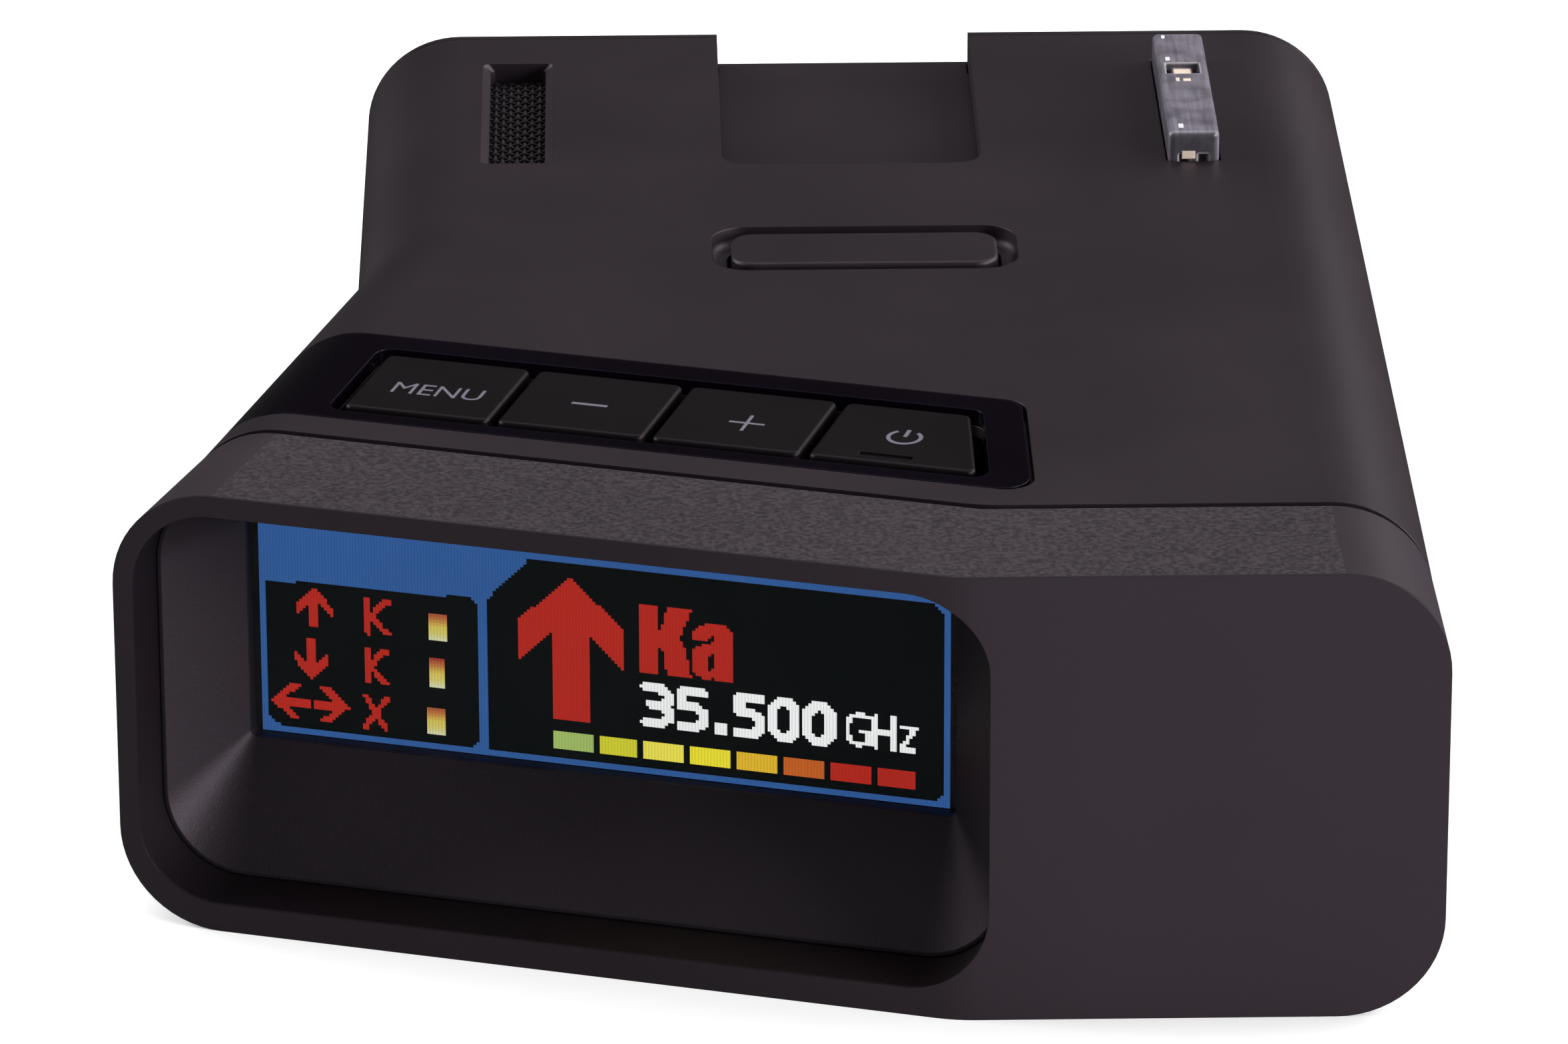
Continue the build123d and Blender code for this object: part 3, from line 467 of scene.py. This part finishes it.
# ------------------------------------------------------------------ the display readout
BLUE = (0.030, 0.100, 0.298)
DARK = (0.0012, 0.0022, 0.0022)
RED = (0.420, 0.021, 0.013)
WHITE = (0.86, 0.88, 0.88)
BAR_COLOURS = [(0.34, 0.48, 0.13), (0.62, 0.60, 0.034), (0.80, 0.72, 0.085), (0.79, 0.70, 0.035),
               (0.70, 0.44, 0.028), (0.50, 0.11, 0.018), (0.44, 0.022, 0.013), (0.41, 0.021, 0.013)]
LEVEL_COLOURS = [(0.30, 0.04, 0.030), (0.47, 0.18, 0.045), (0.60, 0.49, 0.09), (0.60, 0.53, 0.15),
                 (0.60, 0.66, 0.45)]


class Canvas:
    """A grid of display cells. Shapes are drawn on it in millimetres from its top left corner."""

    def __init__(self, width, height, pitch, colour):
        self.columns, self.rows = round(width / pitch), round(height / pitch)
        self.cells = np.empty((self.rows, self.columns, 3))
        self.cells[:] = colour
        grid = np.mgrid[0:self.rows, 0:self.columns] + 0.5
        self.y, self.x = grid[0] * height / self.rows, grid[1] * width / self.columns

    def polygon(self, points, colour):
        """A filled polygon, by the even-odd rule at the middle of each cell."""
        inside = np.zeros_like(self.x, bool)
        for (x0, y0), (x1, y1) in zip(points, points[1:] + points[:1]):
            if y0 == y1:
                continue
            crosses = (self.y >= min(y0, y1)) & (self.y < max(y0, y1))
            edge_x = x0 + (self.y - y0) / (y1 - y0) * (x1 - x0)
            inside ^= crosses & (self.x < edge_x)
        self.cells[inside] = colour

    def bar(self, left, top, right, bottom, colour):
        self.polygon([(left, top), (right, top), (right, bottom), (left, bottom)], colour)

    def stroke(self, points, width, colour, left=0.0, top=0.0):
        """A line of some width through points, which are moved right by left and down by top."""
        for (x0, y0), (x1, y1) in zip(points, points[1:]):
            x, y = self.x - left, self.y - top
            length = (x1 - x0) ** 2 + (y1 - y0) ** 2
            share = np.clip(((x - x0) * (x1 - x0) + (y - y0) * (y1 - y0)) / length, 0, 1)
            gap = np.hypot(x - x0 - share * (x1 - x0), y - y0 - share * (y1 - y0))
            self.cells[gap <= width / 2] = colour

    def glyph(self, lines, width, colour, left, top):
        for line in lines:
            self.stroke(line, width, colour, left, top)

    def arrow(self, x, y, turns, colour, half, shoulder, barb, stem, length):
        """An arrow with its tip at x, y. It points up, turned clockwise by quarter turns."""
        notch = shoulder + barb - (half - stem) * shoulder / half
        side = [(half, shoulder), (half, shoulder + barb), (stem, notch), (stem, length)]
        shape = [(0, 0)] + side + [(-px, py) for px, py in reversed(side)]
        for _ in range(turns):
            shape = [(-py, px) for px, py in shape]
        self.polygon([(x + px, y + py) for px, py in shape], colour)

    def level(self, left, top, right, bottom):
        """A level bar, whose colour runs through LEVEL_COLOURS from its top to its bottom."""
        inside = (self.x > left) & (self.x < right) & (self.y > top) & (self.y < bottom)
        share = (self.y - top) / (bottom - top) * (len(LEVEL_COLOURS) - 1)
        low = np.clip(share.astype(int), 0, len(LEVEL_COLOURS) - 2)
        part = (share - low)[..., None]
        table = np.array(LEVEL_COLOURS)
        colour = table[low] * (1 - part) + table[low + 1] * part
        self.cells[inside] = colour[inside]


# Strokes of the readout's characters, in millimetres from the top left of each one.
SMALL_K = [[(0.2, 0.1), (0.2, 2.5)], [(1.7, 0.1), (1.3, 0.2), (0.5, 1.3), (1.3, 2.3), (1.7, 2.5)]]
SMALL_X = [[(0.2, 0.1), (1.6, 2.4)], [(1.7, 0.1), (0.1, 2.4)]]
DIGITS = {
    "3": [[(0.35, 0.35), (1.45, 0.35), (2.0, 0.8), (2.0, 1.25), (1.6, 1.62), (0.75, 1.62)],
          [(1.6, 1.62), (2.0, 2.05), (2.0, 2.5), (1.45, 2.95), (0.35, 2.95)]],
    "5": [[(1.95, 0.35), (0.45, 0.35), (0.45, 1.45), (1.45, 1.45), (2.0, 1.9), (2.0, 2.5),
           (1.45, 2.95), (0.35, 2.95)]],
    "0": [[(0.85, 0.35), (1.45, 0.35), (1.95, 0.85), (1.95, 2.45), (1.45, 2.95), (0.85, 2.95),
           (0.35, 2.45), (0.35, 0.85), (0.85, 0.35)]],
}
UNIT = [[(1.65, 0.35), (0.95, 0.15), (0.4, 0.4), (0.15, 0.9), (0.15, 1.7), (0.4, 2.2), (0.95, 2.4),
         (1.65, 2.2), (1.65, 1.4), (1.1, 1.4)],
        [(2.15, 0.15), (2.15, 2.4)], [(3.45, 0.15), (3.45, 2.4)], [(2.15, 1.25), (3.45, 1.25)],
        [(3.95, 0.75), (4.95, 0.75), (3.95, 2.4), (4.95, 2.4)]]
BOLD_K = [(0, 0), (1.35, 0), (1.35, 1.75), (1.6, 1.2), (1.6, 0.9), (1.95, 0), (3.65, 0), (3.4, 0.9),
          (3.1, 1.3), (2.85, 2.2), (3.15, 2.7), (3.25, 3.5), (3.45, 3.9), (3.65, 5.0), (1.95, 5.0),
          (1.7, 4.1), (1.6, 3.2), (1.35, 2.95), (1.35, 5.0), (0, 5.0)]
BOLD_A = [(0.45, 0.35), (1.0, 0), (2.1, 0), (2.7, 0.25), (2.9, 0.7), (2.9, 4.2), (1.65, 4.2),
          (1.55, 3.9), (1.1, 4.2), (0.35, 4.1), (0, 3.7), (0, 2.2), (0.4, 1.75), (1.4, 1.4),
          (1.45, 0.95), (1.25, 1.15), (1.05, 1.4), (0, 1.4), (0.05, 0.8)]
A_COUNTER = [(1.15, 2.4), (1.5, 2.2), (1.5, 3.4), (1.15, 3.5)]


def draw_readout(width, height):
    """The readout: a small panel of band arrows on the left and the main signal panel on the right."""
    canvas = Canvas(width, height, READOUT_PITCH, BLUE)
    low = height - 0.55
    canvas.polygon([(0.45, 4.6), (15.4, 4.3), (15.9, 4.9), (15.9, low - 0.6), (15.4, low), (1.3, low),
                    (0.75, low - 0.25), (0.45, low - 0.8)], DARK)
    canvas.polygon([(16.45, 4.7), (16.8, 4.0), (19.7, 0.85), (48.4, 0.85), (49.2, 1.6), (49.2, low - 0.5),
                    (48.7, low), (16.45, low)], DARK)
    small = dict(half=1.3, shoulder=1.45, barb=0.8, stem=0.36)
    canvas.arrow(4.0, 4.75, 0, RED, length=3.1, **small)
    canvas.arrow(3.7, 11.8, 2, RED, length=3.1, **small)
    canvas.arrow(0.65, 13.6, 3, RED, length=2.85, **small)
    canvas.arrow(6.45, 13.6, 1, RED, length=2.75, **small)
    for glyph, left, top in ((SMALL_K, 7.7, 5.2), (SMALL_K, 7.55, 8.95), (SMALL_X, 7.45, 12.5)):
        canvas.glyph(glyph, 0.42, RED, left, top)
    for left, top in ((12.35, 5.7), (12.25, 9.2), (12.15, 12.8)):
        canvas.level(left, top, left + 1.25, top + 2.15)
    canvas.arrow(22.6, 1.85, 0, RED, half=3.9, shoulder=3.75, barb=3.0, stem=1.28, length=10.8)
    for outline, left, top in ((BOLD_K, 27.6, 3.4), (BOLD_A, 31.35, 4.2)):
        canvas.polygon([(left + x, top + y) for x, y in outline], RED)
    canvas.polygon([(31.35 + x, 4.2 + y) for x, y in A_COUNTER], DARK)
    for digit, left in (("3", 27.6), ("5", 30.1), ("5", 34.2), ("0", 36.7), ("0", 39.2)):
        canvas.glyph(DIGITS[digit], 0.72, WHITE, left, 9.15)
    canvas.bar(32.9, 11.5, 33.8, 12.45, WHITE)
    canvas.glyph(UNIT, 0.36, WHITE, 42.2, 9.6)
    for index, colour in enumerate(BAR_COLOURS):
        left = 21.2 + index * 3.32
        canvas.bar(left, 13.6, left + 2.85, 15.0, colour)
    return canvas


def make_readout(material):
    """The readout as one mesh, a face for each run of equal cells, just ahead of the display module."""
    (s0, s1), (front, _), (z0, z1) = node_span("display_panel")
    left, right, low, high = (m * MM for m in READOUT_MARGIN)
    s0, s1, z0, z1 = s0 + left, s1 - right, z0 + low, z1 - high
    canvas = draw_readout((s1 - s0) / MM, (z1 - z0) / MM)
    plane = front - 0.03 * MM
    verts, faces, colours, columns = [], [], [], []
    for row in range(canvas.rows):
        top = z1 - (z1 - z0) * row / canvas.rows
        bottom = z1 - (z1 - z0) * (row + 1) / canvas.rows
        start = 0
        for column in range(1, canvas.columns + 1):
            colour = canvas.cells[row, start]
            if column < canvas.columns and np.array_equal(canvas.cells[row, column], colour):
                continue
            a = s0 + (s1 - s0) * start / canvas.columns
            b = s0 + (s1 - s0) * column / canvas.columns
            first = len(verts)
            verts += [at(a, plane, bottom), at(b, plane, bottom), at(b, plane, top), at(a, plane, top)]
            faces.append((first, first + 1, first + 2, first + 3))
            colours += [(*colour, 1.0)] * 4
            columns += [start, column, column, start]
            start = column
    readout = mesh_object("display_readout", verts, faces)
    layer = readout.data.color_attributes.new("cell", "FLOAT_COLOR", "POINT")
    layer.data.foreach_set("color", np.array(colours).ravel())
    count = readout.data.attributes.new("column", "FLOAT", "POINT")
    count.data.foreach_set("value", columns)
    readout.data.materials.append(material)
    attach(readout, "housing")


# ------------------------------------------------------------------ key legends
LEGEND_HEIGHT = 0.012 * MM


def text_mesh(text):
    """A flat mesh of text in the built-in font, about one unit high."""
    curve = bpy.data.curves.new("text", "FONT")
    curve.body = text
    curve.resolution_u = 6
    obj = link(bpy.data.objects.new("text", curve))
    bpy.context.view_layer.update()
    mesh = bpy.data.meshes.new_from_object(obj.evaluated_get(bpy.context.evaluated_depsgraph_get()))
    bpy.data.objects.remove(obj)
    bpy.data.curves.remove(curve)
    return mesh


def strokes(paths, width):
    """A flat mesh of strokes of one width, each along a path of points. The units are free."""
    verts, faces = [], []
    for path in paths:
        first = len(verts)
        for index, (x, y) in enumerate(path):
            before = path[max(index - 1, 0)]
            after = path[min(index + 1, len(path) - 1)]
            direction = Vector((after[0] - before[0], after[1] - before[1])).normalized()
            side = Vector((-direction.y, direction.x)) * width / 2
            verts += [(x + side.x, y + side.y, 0), (x - side.x, y - side.y, 0)]
        for index in range(len(path) - 1):
            a = first + 2 * index
            faces.append((a, a + 1, a + 3, a + 2))
    mesh = bpy.data.meshes.new("strokes")
    mesh.from_pydata(verts, [], faces)
    mesh.update()
    return mesh


def power_symbol():
    """An open ring with a bar through its gap."""
    gap = math.radians(38)
    turns = [gap + (2 * math.pi - 2 * gap) * i / 40 for i in range(41)]
    ring = [(math.sin(t), math.cos(t)) for t in turns]
    return strokes([ring, [(0, 1.15), (0, 0.05)]], 0.26)


def place_legend(name, mesh, key, middle, size, material):
    """Lays a flat legend on a key, its middle this far (mm) from the key's left and front edges."""
    xs = [v.co.x for v in mesh.vertices]
    ys = [v.co.y for v in mesh.vertices]
    scale_x = size[0] * MM / (max(xs) - min(xs))
    scale_y = size[1] * MM / (max(ys) - min(ys))
    mid_x, mid_y = (max(xs) + min(xs)) / 2, (max(ys) + min(ys)) / 2
    (left, _), (front, _), (_, top) = node_span(key, lid=True)
    across, inward = left + middle[0] * MM, front + middle[1] * MM
    for v in mesh.vertices:
        x, y = (v.co.x - mid_x) * scale_x, (v.co.y - mid_y) * scale_y
        v.co = at(across + x, inward + y, top + LEGEND_HEIGHT)
    mesh.update()
    obj = link(bpy.data.objects.new(name, mesh))
    mesh.materials.clear()
    mesh.materials.append(material)
    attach(obj, key.replace("_key", "_button"))


def make_legends(material):
    """The four top keys' legends. Each middle and size is in mm."""
    dash = [[(-1, 0), (1, 0)]]
    cross = [[(-1, 0), (1, 0)], [(0, -1), (0, -0.1)], [(0, 0.1), (0, 1)]]
    place_legend("menu_legend", text_mesh("MENU"), "menu_key", (5.35, 4.0), (6.5, 1.95), material)
    place_legend("minus_legend", strokes(dash, 0.3), "minus_key", (5.1, 4.5), (2.6, 0.36), material)
    place_legend("plus_legend", strokes(cross, 0.2), "plus_key", (5.4, 4.15), (2.55, 2.9), material)
    place_legend("power_legend", power_symbol(), "power_key", (5.35, 4.6), (2.55, 2.7), material)


# ------------------------------------------------------------------ speaker grille
def make_grille_mesh(material):
    """A woven mesh in the grille slot: threads along X that pass over and under threads along Y."""
    low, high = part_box("speaker_grille")
    margin = 1.1 * MM
    x0, x1, y0, y1 = low.x + margin * 0.8, high.x - margin * 0.8, low.y + margin, high.y - margin
    pitch_x, pitch_y = 0.50 * MM, 0.68 * MM
    radius = 0.15 * MM
    wave = 0.11 * MM
    top = high.z + radius + wave
    sides, verts, faces = 6, [], []

    def tube(points):
        first = len(verts)
        for index, point in enumerate(points):
            direction = (points[min(index + 1, len(points) - 1)] - points[max(index - 1, 0)]).normalized()
            side = direction.cross(UP).normalized()
            over = side.cross(direction)
            for k in range(sides):
                turn = 2 * math.pi * k / sides
                verts.append(point + side * radius * math.cos(turn) + over * radius * math.sin(turn))
        for ring in range(len(points) - 1):
            for k in range(sides):
                a, b = first + ring * sides + k, first + ring * sides + (k + 1) % sides
                faces.append((a, b, b + sides, a + sides))
        faces.append(tuple(range(first + sides - 1, first - 1, -1)))
        faces.append(tuple(range(first + (len(points) - 1) * sides, first + len(points) * sides)))

    rows = int((y1 - y0) / pitch_y)
    columns = int((x1 - x0) / pitch_x)
    for row in range(rows + 1):
        y = y0 + (y1 - y0) * row / rows
        tube([Vector((x0 + (x1 - x0) * i / (4 * columns), y,
                      top + wave * math.cos(math.pi * (i / 4 + row)))) for i in range(4 * columns + 1)])
    for column in range(columns + 1):
        x = x0 + (x1 - x0) * column / columns
        tube([Vector((x, y0 + (y1 - y0) * i / (4 * rows),
                      top - wave * math.cos(math.pi * (i / 4 + column)))) for i in range(4 * rows + 1)])
    mesh = mesh_object("grille_weave", verts, faces, smooth=True)
    mesh.data.materials.append(material)
    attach(mesh, "housing")


# ------------------------------------------------------------------ rear laser lens
def make_lens_parts(bone, glint):
    """What shows in the lens: bone-coloured light guides, and painted highlights, small bright boxes
    standing in for glints, at its inner corners.

    Each box is given in mm: from the lens's left edge, back from its front end and down from its top.
    """
    low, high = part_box("rear_laser_lens")
    boxes = {
        "lens_bar": (bone, [(1.20, 2.50, 13.65, 15.00, 0.38, 0.50)]),
        "lens_foot": (bone, [(1.00, 2.00, -0.12, -0.01, 1.45, 2.05)]),
        "lens_step": (bone, [(1.20, 1.50, 11.2, 12.0, -0.01, 0.02),
                             (1.75, 2.35, 11.2, 11.8, -0.01, 0.02)]),
        # Painted highlights: small bright boxes where glints fall.
        "lens_glints": (glint, [(0.62, 0.90, 20.8, 21.5, -0.01, 0.02),
                                (0.66, 1.02, 15.8, 16.6, -0.01, 0.02),
                                (0.80, 1.20, 1.0, 1.9, -0.01, 0.02)]),
    }
    for name, (material, rows) in boxes.items():
        verts, faces = [], []
        for x0, x1, y0, y1, z0, z1 in rows:
            near = (low.x + x0 * MM, low.y + y0 * MM, high.z - z1 * MM)
            far = (low.x + x1 * MM, low.y + y1 * MM, high.z - z0 * MM)
            box_verts, box_faces = bevelled_box(near, far, 0.012 * MM)
            faces += [[index + len(verts) for index in face] for face in box_faces]
            verts += box_verts
        piece = mesh_object(name, verts, faces)
        piece.data.materials.append(material)
        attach(piece, "housing")


# ------------------------------------------------------------------ stage, light and camera
def make_floor():
    """A plain pale floor that curves up far behind the object."""
    s = Shader("floor")
    tone = s.ramp(s.noise(3.0, 2.0), 0.3, 0.7)
    s.set(Base_Color=s.mix(tone, (0.86, 0.86, 0.86), (0.88, 0.88, 0.88)), Roughness=0.7,
          Emission_Color=(1, 1, 1, 1), Emission_Strength=FLOOR_GLOW)
    half, back, rise, steps = 3.0, 1.6, 1.0, 16
    section = [(-2.5, 0.0), (back - rise, 0.0)]
    for index in range(1, steps + 1):
        turn = math.pi / 2 * index / steps
        section.append((back - rise + rise * math.sin(turn), rise - rise * math.cos(turn)))
    section.append((back, 2.6))
    floor_z = cad_bounds[0].z
    verts = [(x, y, z + floor_z) for y, z in section for x in (-half, half)]
    faces = [(2 * i, 2 * i + 1, 2 * i + 3, 2 * i + 2) for i in range(len(section) - 1)]
    floor = mesh_object("studio_floor", verts, faces, smooth=True)
    floor.data.materials.append(s.material)
    floor.visible_glossy = False


def soft_light(name, place, aim, size, power):
    """A white rectangular area light, aimed at a point. The power is in watts."""
    data = bpy.data.lights.new(name, "AREA")
    data.shape = "RECTANGLE"
    data.size, data.size_y = size
    data.energy = power
    lamp = link(bpy.data.objects.new(name, data))
    lamp.location = place
    lamp.rotation_euler = (Vector(aim) - Vector(place)).to_track_quat("-Z", "Y").to_euler()
    lamp.visible_camera = False


def make_light():
    """A white studio round the object. Gloss sees a darker room, so black plastic stays black."""
    world = bpy.data.worlds.new("studio")
    bpy.context.scene.world = world
    world.use_nodes = True
    tree = world.node_tree
    rays = tree.nodes.new("ShaderNodeLightPath")
    seen = tree.nodes.new("ShaderNodeMix")
    gloss = tree.nodes.new("ShaderNodeMix")
    tree.links.new(rays.outputs["Is Glossy Ray"], gloss.inputs["Factor"])
    gloss.inputs["A"].default_value, gloss.inputs["B"].default_value = ROOM_LIGHT, ROOM_GLOSS
    tree.links.new(rays.outputs["Is Camera Ray"], seen.inputs["Factor"])
    tree.links.new(gloss.outputs[0], seen.inputs["A"])
    seen.inputs["B"].default_value = 1.0
    tree.links.new(seen.outputs[0], tree.nodes["Background"].inputs["Strength"])
    tree.nodes["Background"].inputs["Color"].default_value = (1.0, 0.985, 0.99, 1)
    middle = (0, 0, 0.02)
    for name, place, aim, size, power in (
        ("top_softbox", (0.0, 0.5, 1.3), (0, 0, 0), (1.4, 1.0), 7.5),
        ("rear_softbox", (0.30, 0.32, 0.24), (0.03, 0.03, 0.03), (0.2, 0.12), 0.22),
        ("left_softbox", (-1.2, 0.35, 0.6), middle, (0.8, 0.9), 16.0),
        ("right_softbox", (1.2, 0.3, 0.6), middle, (0.8, 0.9), 14.0),
        ("front_softbox", (1.6, -1.0, 0.5), middle, (1.0, 0.7), 44.0),
    ):
        soft_light(name, place, aim, size, power)


def make_camera():
    data = bpy.data.cameras.new("photo_camera")
    data.lens = CAMERA_LENS
    data.sensor_width = 36.0
    data.clip_start, data.clip_end = 0.01, 20.0
    camera = link(bpy.data.objects.new("photo_camera", data))
    ahead = Vector((math.sin(CAMERA_HEADING) * math.cos(CAMERA_DOWN),
                    math.cos(CAMERA_HEADING) * math.cos(CAMERA_DOWN), -math.sin(CAMERA_DOWN)))
    right = Vector((math.cos(CAMERA_HEADING), -math.sin(CAMERA_HEADING), 0))
    above = right.cross(ahead)
    turned = right * math.cos(CAMERA_ROLL) + above * math.sin(CAMERA_ROLL)
    above = above * math.cos(CAMERA_ROLL) - right * math.sin(CAMERA_ROLL)
    basis = Matrix((turned, above, -ahead)).transposed().to_4x4()
    camera.matrix_world = Matrix.Translation(CAMERA_PLACE) @ basis
    bpy.context.scene.camera = camera


# ------------------------------------------------------------------ build
bpy.context.scene.view_settings.view_transform = "Standard"
materials = make_materials()
dress_nodes(materials)
make_readout(readout_material())
make_legends(legend_ink())
make_grille_mesh(grille_thread())
make_lens_parts(bone_plastic(), glint_material())
make_floor()
make_light()
make_camera()
